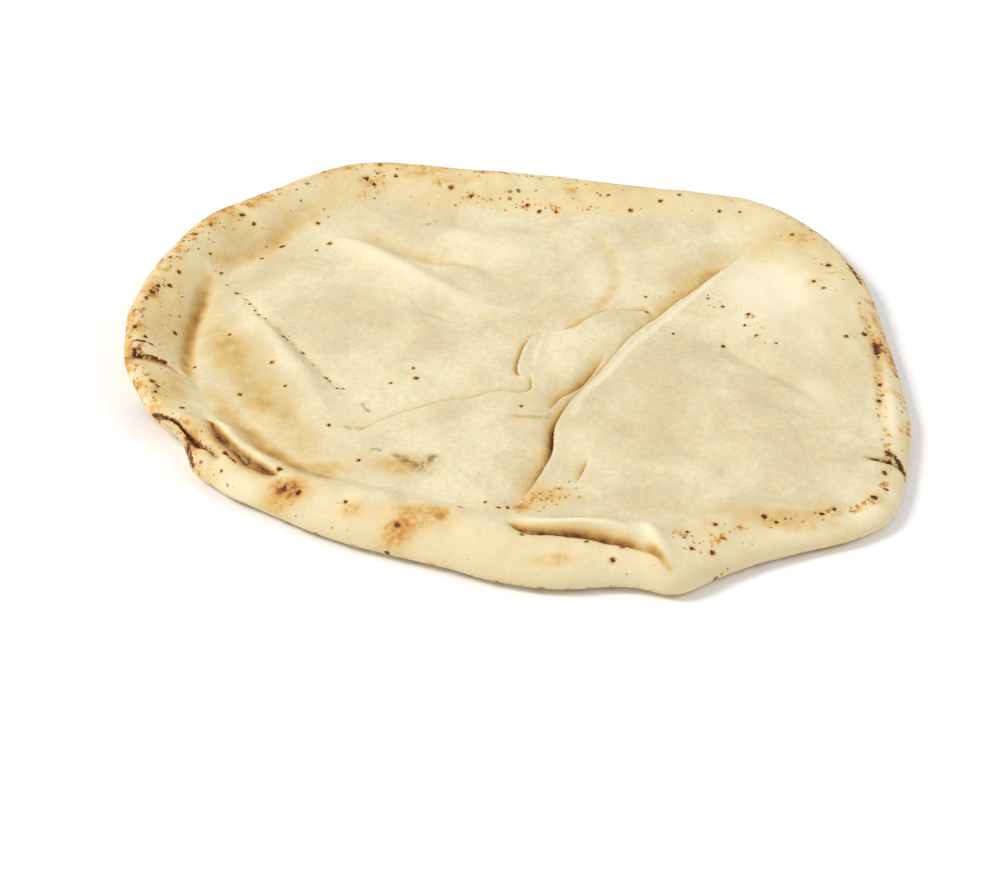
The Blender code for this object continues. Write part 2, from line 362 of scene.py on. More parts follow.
# Along each line, in millimetres: its depth, the length of the dip on the right side, the
# height of the lip on the left side and how far the lip leans over. Shade amount is how much
# painted shade darkens the dip and the foot of the lip's wall, up to 1 or past it where the
# painted shade reaches its darkest. Round is the lip's radius.
CREASES = {
    "main": Crease(
        line=((78, 64), (65, 45.5), (50, 26.5), (37.5, 9), (28.4, -7.6), (20.5, -20.9), (16.5, -29),
        (14.1, -35.5), (13.3, -43), (12.9, -49), (11.2, -55.5), (7.2, -65.5), (1, -78)),
        depth=(1.6, 3.4, 3.6, 2.8, 2, 2.4, 4.2, 3.2, 1.2), dip=(11, 9, 6, 3.6, 2.6, 1.9, 2.2, 3.6, 5),
        lip=(0.4, 0.7, 0.8, 0.8, 0.8, 1, 0.9, 0.6, 0), lean=(0.2, 0.8, 1.2, 1.2, 1, 1.4, 1.8, 0.6, 0),
        brown=(0.6, 0.85, 0.8, 0.62, 0.45, 0.6, 1.6, 0.8, 0.7), round=2.2),
    "beside main": Crease(
        line=((31, 4), (26.9, -5.3), (22.5, -13.7), (18.7, -18.2), (15.1, -22), (11.5, -28.5)),
        depth=(0, 1.8, 2.8, 2.4, 0.8), dip=3, lip=0.6, lean=(0.4, 1, 1, 0.4),
        brown=(0.4, 0.9, 1.15, 1.1, 0.6), round=1.6),
    "hook": Crease(
        line=((8.4, 17), (5.8, 11.8), (3.5, 3.7), (1.9, -4.5), (3.1, -10.9)),
        depth=(0, 1.4, 2.1, 1.8, 0), dip=1.8, lip=(0.6, 1.2, 1), lean=(0.4, 1, 0.4),
        brown=(0.6, 1, 0.8), round=1.2),
    "step": Crease(
        line=((5.8, -6), (5.7, -17.6), (-4.5, -18.4), (-12.7, -21.5), (-22.4, -24.2), (-34.9, -30.7),
        (-51.6, -43)), depth=(0, 1.4, 1.8, 1.7, 1.2, 0.6, 0), dip=1.4, lip=(0.5, 0.5, 0.2),
        lean=(0.6, 0.8, 0.2), brown=(0.9, 1, 0.5), round=1.2),
    "cross": Crease(
        line=((47, 28.5), (42.1, 28.2), (36.1, 26.5), (31.5, 25.9), (28.5, 23.5), (23.5, 19.4),
        (20.8, 16.4), (17.2, 15.9), (15, 16.8)), depth=(0, 1.4, 1.9, 2.1, 1.4), dip=2.4, lip=0.7,
        lean=(0.2, 0.8, 0.8), brown=(1.1, 0.9, 0.9, 1.3), round=1.4),
    "short": Crease(
        line=((-3.5, -28.5), (0.3, -31.2), (12.5, -31.8)), depth=(0, 1.2, 0.8), dip=1.4, lip=0.4,
        lean=0.4, brown=(0.2, 0.6, 0.5), round=1.2),
    "low": Crease(
        line=((24, -53), (22.6, -59), (19.5, -68.3)), depth=(0, 1.6, 0), dip=2.6, lip=0.4, lean=0.4,
        brown=(0, 0.8, 0.3), round=1.6),
    "tuck at the left": Crease(
        line=((-123.5, -7.5), (-118, -6.2), (-112, -6), (-108, -6.8), (-103, -10.5)),
        depth=(2.6, 2.6, 2.4, 1.6, 0.3), dip=2.2, lip=0.5, lean=0.3, brown=(0.9, 0.95, 0.95, 0.8, 0.4),
        round=1.8),
    "seam under the flap": Crease(
        line=((-112.5, -34), (-107.4, -37), (-103.5, -39.5), (-99.4, -44), (-94.7, -49.2), (-88, -57)),
        depth=(0, 2.2, 3.6, 3.6, 2.6, 0), dip=2, lip=0.6, lean=(0.6, 1.2, 0.8),
        brown=(0.5, 0.8, 0.8, 0.6), round=2.2),
    "slot at the left": Crease(
        line=((-95, -34), (-90, -44), (-85, -51.3), (-80.3, -57.5), (-76.6, -61.8), (-69, -67.5)),
        depth=(0.6, 3.2, 4.4, 4.4, 3.2, 0), dip=2.8, lip=(0.6, 1.8, 2, 1), lean=(0.4, 0.8, 0.8, 0.4),
        brown=(0.7, 1.9, 2.3, 2.1, 1), round=4),
    "slot in front": Crease(
        line=((-3, -86.5), (5, -92.5), (13, -93.8), (21, -95.5), (31, -98), (37, -100.5),
        (41.5, -104.5), (45.5, -109.5)), depth=(0, 3.8, 5.2, 4.8, 4.2, 3.4, 1), dip=1.6,
        lip=(0.4, 1, 1, 1, 0.4), lean=(0.4, 0.6, 0.6, 0.5, 0),
        brown=(0.6, 1.8, 1.9, 1.8, 1.5, 0.6, 0.6), round=5.6),
    "tuck at the right": Crease(
        line=((107, -53.6), (112, -53.6), (116, -52.8), (120, -54.8), (122.5, -59)),
        depth=(0, 1.4, 3, 3.4, 2.4), dip=1.6, lip=0.6, lean=(0.4, 1, 1), brown=(0.6, 1.1, 1.2),
        round=1.8),
}
LIP_LENGTH = 0.0045
# Painted shade reaches further up a wide roll's wall than a narrow lip's: this wide, evenly from foot to
# top.
EVEN_ROLL = 0.0056
CREASE_REACH = 0.03
CREASE_FADE = 0.1
GATHER = 0.55
GATHER_LENGTH = 0.003
GATHER_FADE = 0.08


def fade_out(share, length):
    """Runs a crease out softly at both of its ends."""
    return ease(share / length) * ease((1 - share) / length)


def gather(x, y):
    """Moves places sideways towards each crease, so that the mesh is finest there."""
    places = np.stack([x, y], axis=1)
    for crease in CREASES.values():
        index, away, share, left = near_line(places, through(mm(crease.line)), 3 * GATHER_LENGTH)
        ends = fade_out(share, GATHER_FADE)
        pull = GATHER * away * np.exp(-((away / GATHER_LENGTH) ** 2)) * ends
        places[index] -= left * pull[:, None]
    return places[:, 0], places[:, 1]


def crease_moves(x, y):
    """How far the creases move each place in x, y and height, and how much painted shade they put on it.
    """
    places = np.stack([x, y], axis=1)
    moves = np.zeros((len(x), 3))
    browned_and_shaded = np.zeros(len(x))
    for crease in CREASES.values():
        index, away, share, left = near_line(places, through(mm(crease.line)), CREASE_REACH)
        ends = fade_out(share, CREASE_FADE)
        depth, dip, lip, lean = (along(mm(values), share) for values in crease[1:5])
        brown = along(crease.brown, share)
        foot = 1 - np.sqrt(1 - (1 - np.clip(away / mm(crease.round), 0, 1)) ** 2)
        lip_fade = np.exp(-np.abs(away) / LIP_LENGTH)
        dipping = -depth * np.exp(-np.abs(away) / dip)
        rising = -depth * foot + lip * (1 - foot) * lip_fade * ends
        on_left = away > 0
        moves[index, 2] += np.where(on_left, rising, dipping)
        slide = np.where(on_left, lean * (1 - foot) * lip_fade**2 * ends, 0)
        moves[index, :2] -= left * slide[:, None]
        wall = foot ** (EVEN_ROLL / mm(crease.round))
        # Painted shade: darkens the dip and the foot of the lip's wall, where shade falls in a crease.
        shade = brown * ends * np.where(on_left, wall, np.exp(-np.abs(away) / dip))
        browned_and_shaded[index] = np.maximum(browned_and_shaded[index], shade)
    return moves, browned_and_shaded


# %% [markdown]
# ## The skins as one mesh
#
# A round sheet made of rings has a knot of thin triangles in its middle. A square grid pressed
# into a circle doesn't: its inner squares become rings, each a little longer than the last.
# The upper skin is a fine grid, the underside a coarser one, and a bridge of faces joins their
# edges at the seam, so that the bread is one closed body.

# %% Grid sizes
FACE_CELLS = 400
UNDER_CELLS = 160
RIM_ARC = 0.85
SEAM_GAP = math.radians(5)
# The seam itself stays in place: the creases take hold over this distance from it.
HELD_EDGE = 0.003
# The underside's own low swells.
UNDER_SWELL = 0.0005
UNDER_WAVE = 0.03
UNDER_SEED = 71
UNDER_EDGE = 0.02


def press_round(places):
    """Presses the square from -1 to 1 into a circle. Returns the ring, 0 to 1, and the angle."""
    u, v = places[:, 0], places[:, 1]
    ring = np.maximum(np.abs(u), np.abs(v))
    safe = np.where(ring == 0, 1, ring)
    across = np.abs(u) >= np.abs(v)
    angle = np.where(
        across,
        math.pi / 4 * v / safe * np.sign(u) + np.where(u < 0, math.pi, 0),
        math.pi / 2 * np.sign(v) - math.pi / 4 * u / safe * np.sign(v),
    )
    return ring, angle


def shape_upper(ring, angle):
    """Places on the upper skin before and after creasing, and how much painted shade the creases put on
    them.
    """
    edge, rounding = edge_radius(angle), mm(around(RIM_ROUND, angle))
    rise = mm(around(RIM_HEIGHT, angle) - around(SEAM_HEIGHT, angle))
    arc_length = RIM_ARC * (rounding + rise)
    share = arc_length / (arc_length + edge - rounding)
    turn = np.clip((1 - ring) / share, 0, 1) * math.pi / 2
    inward = np.clip(1 - ring / (1 - share), 0, 1)
    inset = rounding * (1 - np.cos(turn)) + (edge - rounding) * inward
    x, y = (edge - inset) * np.cos(angle), (edge - inset) * np.sin(angle)
    gathered_x, gathered_y = gather(x, y)
    loose = ease(inset / HELD_EDGE)
    x, y = x + (gathered_x - x) * loose, y + (gathered_y - y) * loose
    moves, browned_and_shaded = crease_moves(x, y)
    smooth = np.stack([x, y, upper_height(x, y)], axis=1)
    return smooth, smooth + moves * loose[:, None], browned_and_shaded


def shape_under(ring, angle):
    """Places on the underside: rounded up to the seam, and flat where it lies."""
    edge, rounding = edge_radius(angle), mm(around(UNDER_ROUND, angle))
    share = rounding / edge
    turn = SEAM_GAP + (math.pi / 2 - SEAM_GAP) * np.clip((1 - ring) / share, 0, 1)
    inward = np.clip(1 - ring / (1 - share), 0, 1)
    inset = rounding * (1 - np.cos(turn)) + (edge - rounding) * inward
    x, y = (edge - inset) * np.cos(angle), (edge - inset) * np.sin(angle)
    height = mm(around(SEAM_HEIGHT, angle)) * (1 - np.sin(turn))
    swell = np.maximum(waves(x, y, UNDER_WAVE, UNDER_SEED), 0)
    height += UNDER_SWELL * swell * ease(inset / UNDER_EDGE)
    return np.stack([x, y, height], axis=1)


# %% Make the bread
form = bmesh.new()
bmesh.ops.create_grid(form, x_segments=FACE_CELLS, y_segments=FACE_CELLS, size=1)
upper_count = len(form.verts)
upper_faces = len(form.faces)
bmesh.ops.create_grid(form, x_segments=UNDER_CELLS, y_segments=UNDER_CELLS, size=1)
form.faces.ensure_lookup_table()
bmesh.ops.reverse_faces(form, faces=form.faces[upper_faces:])
flat = np.array([vertex.co[:2] for vertex in form.verts])
ring, angle = press_round(flat)
shaped = shape_upper(ring[:upper_count], angle[:upper_count])
smooth_places, upper_places, crease_shade = shaped
under_places = shape_under(ring[upper_count:], angle[upper_count:])
for vertex, place in zip(form.verts, np.vstack([upper_places, under_places])):
    vertex.co = place
open_edges = [edge for edge in form.edges if len(edge.link_faces) == 1]
bridge = bmesh.ops.bridge_loops(form, edges=open_edges)["faces"]
bmesh.ops.recalc_face_normals(form, faces=form.faces)
bread_mesh = bpy.data.meshes.new("pita_crust")
form.to_mesh(bread_mesh)
form.free()
bread_mesh.shade_smooth()
bread = bpy.data.objects.new("pita_crust", bread_mesh)
bpy.context.scene.collection.objects.link(bread)
print("bread:", len(bread_mesh.vertices), "points,", len(bread_mesh.polygons), "faces,",
      len(bridge), "of them in the bridge")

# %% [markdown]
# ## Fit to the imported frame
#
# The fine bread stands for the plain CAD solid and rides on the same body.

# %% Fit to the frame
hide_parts("pita_bread")
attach(bread, "root")

# %% [markdown]
# ## Flat maps of the two skins
#
# A baked picture of the bread needs its skins laid out flat. The grids were round sheets before
# they were shaped, so each becomes a disc: a large one for the upper skin, a small one for the
# underside. Faces of the bridge join the underside's disc as its outermost ring.

# %% Lay the skins flat
UPPER_DISC = (0.385, 0.375)
UNDER_DISC = (0.800, 0.185)
BRIDGE_RING = 1.02

corners = np.empty(len(bread_mesh.loops), dtype=np.int32)
bread_mesh.loops.foreach_get("vertex_index", corners)
sides = np.empty(len(bread_mesh.polygons), dtype=np.int32)
bread_mesh.polygons.foreach_get("loop_total", sides)
below = np.repeat(np.arange(len(sides)), sides) >= upper_faces
disc_ring = np.where(below & (corners < upper_count), BRIDGE_RING, ring[corners])
disc_middle = np.where(below, UNDER_DISC[0], UPPER_DISC[0])
disc_radius = np.where(below, UNDER_DISC[1], UPPER_DISC[1])
flat_u = disc_middle + disc_radius * disc_ring * np.cos(angle[corners])
flat_v = disc_middle + disc_radius * disc_ring * np.sin(angle[corners])
flat_map = bread_mesh.uv_layers.new(name="OFBake")
flat_map.uv.foreach_set("vector", np.stack([flat_u, flat_v], axis=1).astype(np.float32).ravel())
print("flat map from", flat_u.min().round(3), "to", flat_u.max().round(3))

# %% [markdown]
# ## Where the bread browned, with painted light and shade
#
# Colour on bread comes from heat. The rim dries first and turns yellow, then gold. Dimples
# that touched the hot floor of the oven toasted to orange and brown. Thin blisters burned to
# dark dots, thickest along the rim and the seam. Light and shade are painted in as well: painted
# shade turns the creases, slots and valleys golden to dark brown, and painted highlights make
# the ridges and lips that face the light paler. Each of these is painted onto the points of the
# mesh as a number from 0 to 1, and the crust material turns the numbers into colour.

# %% Painting helpers
plan = smooth_places[:, :2]
upper_angle = np.arctan2(plan[:, 1], plan[:, 0])
upper_inset = edge_radius(upper_angle) - np.hypot(plan[:, 0], plan[:, 1])


def strokes(lines):
    """How strongly painted lines cover each point of the upper skin."""
    cover = np.zeros(upper_count)
    for points, half_width, strength in lines:
        half_width = mm(half_width)
        index, away, share, _ = near_line(plan, through(mm(points)), 2.5 * half_width)
        paint = along(strength, share) * np.exp(-((away / half_width) ** 2))
        cover[index] = np.maximum(cover[index], paint)
    return cover


def patches(spots, wider=1.0):
    """How strongly soft oval patches cover each point of the upper skin."""
    cover = np.zeros(upper_count)
    for *sizes, strength in spots:
        x, y, half_x, half_y = mm(tuple(sizes))
        away = np.hypot((plan[:, 0] - x) / half_x, (plan[:, 1] - y) / half_y) / wider
        cover = np.maximum(cover, strength * np.exp(-(away**3)))
    return cover


def store(name, upper, under=0.0, kind="FLOAT"):
    """Keeps one painted value, or one direction, for every point of the bread."""
    width = 3 if kind == "FLOAT_VECTOR" else 1
    values = np.zeros((len(smooth_places) + len(under_places), width), dtype=np.float32)
    values[:upper_count].T[:] = np.transpose(upper)
    values[upper_count:].T[:] = np.transpose(under)
    layer = bread_mesh.attributes.new(name, kind, "POINT")
    layer.data.foreach_set("vector" if width == 3 else "value", values.ravel())
    print(f"{name}: {values.min():.2f} to {values.max():.2f}")


# %% Rim, painted highlights, painted shade and toast
RIM_BAND = (
    (0, 10), (30, 18), (60, 21), (90, 22), (120, 22), (150, 19), (181, 18), (192, 13), (215, 14),
    (270, 15), (300, 12), (345, 9),
)
# Painted shade along valleys, furrows, moats and the low-left side, golden to brown.
PAINTED_SHADE_LINES = (
    (((-101.5, 45), (-103, 31), (-104.5, 20), (-105.2, 8), (-104.5, -3), (-101, -15)), 3,
     (0.5, 0.88, 0.84, 0.8, 0.7, 0.4)),
    (((-98, 55), (-88.5, 62.5), (-80.5, 70), (-71.5, 82), (-63, 90)), 6, (0.45, 0.5, 0.5, 0.45, 0.3)),
    (((-96, -18), (-88, -32), (-79, -45), (-69, -57), (-59, -64.5), (-47, -69.5)), 5.5,
     (0.35, 0.5, 0.65, 0.8, 0.65, 0.1)),
    (((-98, 24), (-93, 9), (-86, -8), (-76, -26), (-66, -44), (-56, -56)), 10,
     (0.3, 0.58, 0.46, 0.55, 0.42, 0.3)),
    (((4, -90.5), (20, -93), (34, -96.5)), 1.7, (0.35, 0.45, 0.35)),
    (((-124.5, 16), (-123.5, -4), (-119, -16)), 3, (0.3, 0.5, 0.2)),
    (((37, -100), (41, -104), (46, -110)), 1.4, (0.4, 0.8, 0.5)),
    (((28, 29), (33.5, 40), (34.5, 56), (31, 70), (24, 80)), 3.2, (0.4, 0.4, 0.35, 0.3, 0.1)),
    (((-54, 81), (-45, 72), (-28, 61), (-10, 52)), 3.4, (0.2, 0.42, 0.42, 0.2)),
    (((50, -86), (60, -83), (76, -80)), 4, (0.1, 0.35, 0.1)),
    (((-88, 30), (-74, 10), (-56, -15)), 1.6, (0.2, 0.3, 0.2)),
    (((116, -30), (117.5, -10), (118, 8), (115, 25)), 2.2, (0.2, 0.5, 0.7, 0.3)),
)
# Partly golden crust, partly painted shade where the surface turns away from the light.
GOLD_AND_SHADE_PATCHES = (
    (-94, 10, 6, 5, 0.55), (-58, -59, 11, 6, 0.5), (-74, -33, 7, 11, 0.42), (-98, 30, 5, 10, 0.3),
    (-14, 95, 30, 6, 0.3), (96, 70, 12, 12, 0.35), (6, -70, 6, 6, 0.45), (88, -78, 16, 4, 0.3),
    (-112, -19, 8, 14, 0.3), (-114, 20, 9, 18, 0.34), (-30, -56.5, 11, 6, 0.3), (-47, -33, 9, 6, 0.22),
    (-90, 83, 16, 12, 0.25), (64, -90, 16, 8, 0.25), (92, 64, 17, 12, 0.36), (106, 13, 7, 12, 0.2),
    (-112, 20, 7.5, 26, 0.42), (-108, -20, 7.5, 13, 0.46), (-95, 70, 16, 12, 0.38),
    (-33, -58.5, 12, 7, 0.5), (82, -85, 22, 6, 0.48), (40, -43, 30, 24, 0.15), (15, -108.5, 20, 3, 0.12),
    (-48, -36, 9, 6, 0.3), (30, 94, 30, 10, 0.26), (100, 56, 11, 12, 0.26), (72, 62, 10, 6, 0.3),
    (-56, 98, 13, 9, 0.3), (35, 95, 26, 8, 0.24), (-90, -50, 4, 6, 0.4),
)
# Painted highlights on ridges, lips and rolls that face the light, and on brightly lit stretches: the
# lightest places.
HIGHLIGHT_LINES = (
    (((-88, 34), (-82, 21), (-74, 2), (-66, -14), (-61, -26), (-58, -40)), 3,
     (0.2, 0.5, 0.6, 0.5, 0.4, 0.1)),
    (((-64, 73), (-53, 64), (-42, 54.5), (-31, 45), (-21, 37), (-10, 31)), 3.4,
     (0.2, 0.6, 0.7, 0.7, 0.6, 0.2)),
    (((-30, 76), (-12, 66), (4, 56)), 6, (0.1, 0.5, 0.1)),
    (((-122.5, -10), (-119, -19.5), (-113.8, -31), (-108.5, -37.4)), 1, (0.8, 1, 1, 0.8)),
    (((-95, -31), (-90.5, -40.5), (-84, -52.2), (-76, -61.2), (-70, -67), (-62, -73)), 1.5,
     (0.4, 1, 1, 1, 0.9, 0.3)),
    (((-1, -85), (8, -89), (20, -90.5), (33, -92.5)), 1.6, (0.2, 0.9, 0.9, 0.5)),
    (((39, -90.5), (41, -97), (44, -105)), 3.4, (0.9, 1, 0.6)),
    (((120, 8), (121, -12), (120.5, -32), (119, -48)), 3, (0.2, 0.7, 0.8, 0.5)),
    (((80, 61), (66, 42), (51, 21.5), (40, 6), (31, -9), (23, -22), (19.5, -32)), 0.9,
     (0.5, 0.8, 0.8, 0.8, 0.8, 0.9, 0.5)),
    (((70, -94.5), (88, -89), (104, -82.5), (115, -70)), 3, (0.2, 0.7, 0.8, 0.6)),
    (((11, 14), (8.5, 6), (7, -3)), 0.9, (0.3, 0.8, 0.5)),
)
HIGHLIGHT_PATCHES = (
    (85, 38, 19, 21, 1), (96, 22, 10, 24, 0.6), (-85, -69, 11, 6, 0.7), (-52, -80, 7, 6, 0.15),
    (-7, 62, 14, 9, 0.4), (33, 42, 7, 8, 0.5), (96, -18, 6, 10, 0.4), (-6, -92, 13, 8, 0.25),
    (20, -106, 20, 6, 0.3),
)
TOAST_PATCHES = (
    (-99.2, -47, 3.4, 5.2, 0.66), (-67.8, -72.8, 6.6, 5.2, 0.6), (-27, -86.5, 10, 6.6, 0.38),
    (-33.5, -91.5, 6, 4.5, 0.56), (-22, -86, 4, 4.5, 0.46), (-48, -83, 5, 3.6, 0.3),
    (10, -75.2, 9, 6.2, 0.3), (3, -80, 4, 2.8, 0.46), (-123.5, 14, 3, 10, 0.34), (-106, 70, 5, 5, 0.3),
    (-88, 87, 6, 4, 0.3), (-30, 106, 12, 4, 0.3), (98, 69, 6, 6, 0.28), (-118, 29, 3, 5.5, 0.5),
    (-50, 101, 4.8, 3, 0.42), (118.8, 7, 2.4, 6, 0.66), (-119.5, 8, 3, 4, 0.45),
    (-95, 76.5, 5, 3.2, 0.32), (-113, -20.5, 2.5, 3.5, 0.34), (12, -106, 8, 2.2, 0.3),
    (-92, -60, 2, 2, 0.2), (-18, 102, 12, 3, 0.26), (32, 96, 10, 3, 0.22), (101, 42, 4, 4, 0.22),
    (-83, 60, 4, 3, 0.22), (76, -86, 6, 2.2, 0.26), (95, -80.5, 5, 2.2, 0.3),
    (110, -73.5, 3.2, 2.8, 0.34),
)
RIM_FADE = 0.009
# Round each toasted patch lies a wider golden one.
HALO_GOLD = 0.7
HALO_WIDER = 1.7
rim_edge = mm(around(RIM_BAND, upper_angle))
rim_share = 1 - ease((upper_inset - rim_edge) / RIM_FADE + 0.5)
# Gold and painted shade together: the shade lines and patches, golden halos round toast, and the crease
# shade.
gold_and_shade = np.maximum(strokes(PAINTED_SHADE_LINES), patches(GOLD_AND_SHADE_PATCHES))
gold_and_shade = np.maximum(gold_and_shade, HALO_GOLD * patches(TOAST_PATCHES, HALO_WIDER))
gold_and_shade = np.clip(np.maximum(gold_and_shade, crease_shade), 0, 1)
store("rim", rim_share, 1.0)
store("gold_and_shade", gold_and_shade)
store("toast", patches(TOAST_PATCHES))
store("painted_highlight", np.maximum(strokes(HIGHLIGHT_LINES), patches(HIGHLIGHT_PATCHES)))

# %% Char lines, partly painted crease shadow, and dotted bands
# Char lines: burnt seams and notches, and painted shadow as dark lines at the bottom of slots, tucks and
# the main crease.
CHAR_AND_SHADOW_LINES = (
    (((-113, -34.5), (-108, -37), (-104, -39.5), (-99.4, -44.3), (-94.7, -49.4), (-90, -54.5)), 0.8,
     (0.7, 1, 0.9, 0.9, 0.6, 0.3)),
    (((-100.4, -43.5), (-99.8, -49), (-98.4, -54)), 0.8, (0.9, 0.8, 0.8)),
    (((-89.5, -46), (-85, -52), (-80.3, -58.2)), 0.7, (0.3, 0.8, 0.5)),
    (((-88, -54.5), (-84.5, -59)), 0.7, (0.9, 0.7)),
    (((4, -92.5), (7.5, -94), (8.5, -95.5)), 0.9, (0.7, 0.9, 0.8)),
    (((-121, -6.6), (-115, -5.6), (-110.5, -5.6)), 0.5, (0.7, 0.6, 0.6)),
    (((-121.5, -1), (-117, 0.5), (-114, -0.5)), 0.7, (0.6, 0.9, 0.4)),
    (((109.2, -54), (113, -53.8), (116.5, -53)), 0.8, (0.4, 0.7, 0.9)),
    (((116.4, -50.7), (118.7, -52.3), (120.2, -56), (120.6, -60.5)), 0.9, (0.9, 0.8, 0.8, 0.5)),
    (((112, 57), (115, 49), (116.5, 43)), 0.9, (0.4, 0.9, 0.5)),
    (((117.6, 10), (118.2, 5), (118, 0)), 1, (0.6, 1, 0.5)),
    (((13.7, -39.5), (13.3, -45), (12.8, -50.5)), 0.6, (0.4, 1, 0.6)),
)
SMUDGES = (
    (((-35.4, -54), (-29.7, -58.6), (-27.5, -59.1), (-24.3, -55)), 1.6, (0.7, 0.95, 0.8, 0.9)),
    (((-32, -56), (-29.5, -60), (-25, -62)), 2, (0.2, 0.6, 0.2)),
    (((-52, -38), (-48, -38.8), (-45, -38)), 0.9, (0.4, 0.6, 0.4)),
    (((-43, -50.5), (-40.5, -51)), 0.9, 0.6),
    (((-26, 82.5), (-29, 80.5)), 1, 0.6),
    (((106, 10), (111, 10)), 0.8, 0.5),
    (((-45, -29), (-47, -25)), 0.9, 0.6),
)
SPECKLE_LINES = (
    (((-97.8, 50.7), (-87, 31.8), (-74, 13), (-63.7, -2), (-50.8, -24.2), (-46.5, -29.1)), 1.1,
     (0.2, 0.35, 0.35, 0.35, 0.3, 0.2)),
    (((68, -90.5), (86, -85), (102, -79), (111, -72), (114.5, -61), (116, -50), (116.5, -20),
     (117.5, 5), (115, 30)), 1.6, (0.5, 0.9, 0.9, 0.8, 0.6, 0.6, 0.7, 0.8, 0.4)),
    (((-30, 104), (-14, 94.5), (6, 89.5), (20, 87), (42, 86.5)), 3, (0.3, 0.6, 0.5, 0.4, 0.2)),
    (((44, 38), (65, 33), (78, 20), (86, 5)), 5, (0.1, 0.3, 0.3, 0.2)),
    (((2, -79), (10, -76.5), (19, -72)), 4.5, (0.8, 1, 0.7)),
    (((50, -95), (56, -99), (64, -93)), 4, (0.4, 0.4, 0.4)),
    (((-96, 78), (-82, 69), (-64, 85), (-48, 102)), 7, (0.3, 0.2, 0.2, 0.4)),
)
EDGE_SPECKLE = (
    (0, 0.55), (20, 0.35), (45, 0.35), (75, 0.45), (110, 0.6), (150, 0.75), (180, 0.7), (200, 0.4),
    (208, 0.5), (216, 0.12), (270, 0.06), (300, 0.15), (330, 0.1), (350, 0.35),
)
EDGE_SPECKLE_WIDTH = 0.0075
EDGE_TOAST = 1.3
RIM_SPECKLE = 0.24
FEWEST_SPECKLES = 0.012
UNDER_SPECKLES = 0.30
edge_heat = around(EDGE_SPECKLE, upper_angle)
edge_band = np.exp(-((upper_inset / EDGE_SPECKLE_WIDTH) ** 2))
speckle = np.maximum(strokes(SPECKLE_LINES), edge_heat * edge_band)
speckle = np.maximum(speckle, RIM_SPECKLE * rim_share * edge_heat)
store("char_and_crease_shadow", np.clip(strokes(CHAR_AND_SHADOW_LINES), 0, 1))
store("edge_toast", np.clip(EDGE_TOAST * edge_heat * edge_band, 0, 1), 0.25)
store("smudge", strokes(SMUDGES))
store("speckle", np.clip(speckle, FEWEST_SPECKLES, 1), UNDER_SPECKLES)

# %% Single burnt blisters
# Each radius, and the places of the blisters of that size.
BLISTERS = {
    0.5: ((-95, 43), (-86.5, 31.2), (-84.5, 27.5), (-80.7, 22), (-73, 10.2), (-58, -11.5),
          (-55.5, -15.7), (-53.5, -15.7)),
    0.6: ((-63.8, -3), (-92, 14), (-72, -15.5), (-102, -3), (-57, -37.5), (-38.5, -13.5), (-66, 63),
          (-8, -77), (65, 33), (76, 17), (79.5, 11), (52.5, 13), (85.5, 6), (44.5, 37), (78.5, 84.5)),
    0.7: ((-83.2, 24.4), (-67.5, 4.1), (-59.4, -9.8), (-31.5, -6), (3, -26.5), (-4, -80), (-47, -56),
          (69.5, 27.5), (-88, 74), (15.5, 86.5), (33.5, 93), (58, 93), (71.5, 84.5), (103.5, 38),
          (51, -97)),
    0.8: ((-97.4, 49), (-91.2, 37), (-74.2, 12), (77.5, 22.5), (68.5, 7), (-101.5, 56), (-66.5, 80),
          (-65.5, 104), (-40.5, 104), (-112, -26), (5.5, 90), (9.5, 87), (51.5, 90.5), (95.5, 70.5),
          (100.5, 42.5), (108.5, 10), (22, -99.5), (52, -93.5), (53, -102), (79, -86.5), (-50, -79.5),
          (-99, -51.5)),
    0.9: ((-86, -20.5), (-77, -3), (-30.5, -11), (-62, 67), (44.5, 28), (-109.5, 12.5), (-84.5, 59.5),
          (-48, 100), (-110.5, 41.5), (-119.5, 24), (-118, 3), (-111.5, -22.5), (-103, -32.5), (41, 86),
          (117, -15), (3, -95.5), (16.5, -96.5), (29.5, -106), (59, -102), (60.5, -90), (115, -54.5),
          (-70.5, -64.5), (-15.5, -81.5), (-100, -47), (-98, -55.5)),
    1: ((-113, 34), (-116.5, 32), (-120.5, -5.5), (-21, 98.5), (-14, 94.5), (116, -23), (32.5, -101),
          (97, -79.5), (114, -61), (-34, -90)),
    1.1: ((-78, 68), (-92, 77), (-121.5, 7.5), (106.5, 52), (115, 13), (75.5, -85), (93, -82),
          (-64.5, -74.5)),
    1.2: ((-50.5, 102), (-113.5, -20), (109.5, -73.5), (-69, -72.5)),
    1.3: ((-118, 28), (118.2, 4), (116, -50.5)),
    1.4: ((118, 8),),
}
FAR_AWAY = 50.0
nearest = np.full(upper_count, FAR_AWAY)
toward = np.full((upper_count, 3), FAR_AWAY)
for radius, places in BLISTERS.items():
    x, y = np.array(mm(places)).T
    for place in np.stack([x, y, upper_height(x, y)], axis=1):
        offset = (smooth_places - place) / mm(radius)
        distance = np.linalg.norm(offset, axis=1)
        closer = distance < nearest
        nearest[closer] = distance[closer]
        toward[closer] = offset[closer]
store("blister", toward, FAR_AWAY, "FLOAT_VECTOR")
store("blister_away", nearest, FAR_AWAY)
# The toasted base begins a small share of the way in from the seam.
BASE_EDGE = 0.06
store("base", 0.0, ease((1 - ring[upper_count:])[:, None] / BASE_EDGE))

# %% [markdown]
# ## Building shader nodes
#
# Small helpers keep the materials readable. The first adds a node with its settings and inputs
# in one call, and most of the others are one kind of node each. The last two make a reusable
# group with named sockets, and place it in a material.


